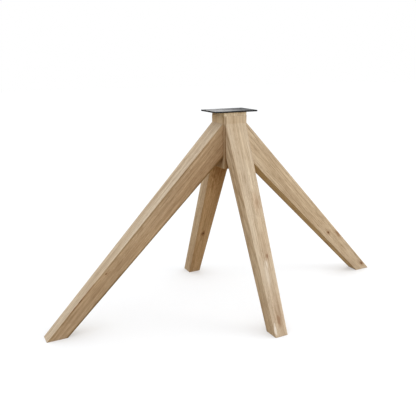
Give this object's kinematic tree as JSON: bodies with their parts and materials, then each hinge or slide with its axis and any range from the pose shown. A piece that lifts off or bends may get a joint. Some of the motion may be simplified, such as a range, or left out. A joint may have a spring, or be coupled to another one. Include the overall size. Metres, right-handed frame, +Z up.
{
  "type": "strut table base",
  "caption": "Free-standing oak table base: tapered legs splay from the faces of a short square post, under a flat steel plate that takes the table top.",
  "frame": {"origin": "on the floor, straight under the post's centre line", "axes": "+Z up; X along the two long legs and the plate's long side, +X towards leg_right; Y along the two short legs, -Y towards leg_front"},
  "size_m": [1.3886, 0.7212, 0.72],
  "materials": {
    "oak": "sanded oak, matt clear lacquer",
    "plate_steel": "blackened steel under a thin satin wax",
    "beech": "plain beech, hidden in the joints",
    "screw_steel": "black phosphated steel"
  },
  "bodies": {
    "root": {"post": "oak", "plate": "plate_steel", "leg_right": "oak", "leg_back": "oak", "leg_left": "oak", "leg_front": "oak", "dowel_right_1": "beech", "dowel_right_2": "beech", "dowel_back_1": "beech", "dowel_back_2": "beech", "dowel_left_1": "beech", "dowel_left_2": "beech", "dowel_front_1": "beech", "dowel_front_2": "beech", "plate_screw_1": "screw_steel", "plate_screw_2": "screw_steel", "plate_screw_3": "screw_steel", "plate_screw_4": "screw_steel"}
  },
  "joints": []
}
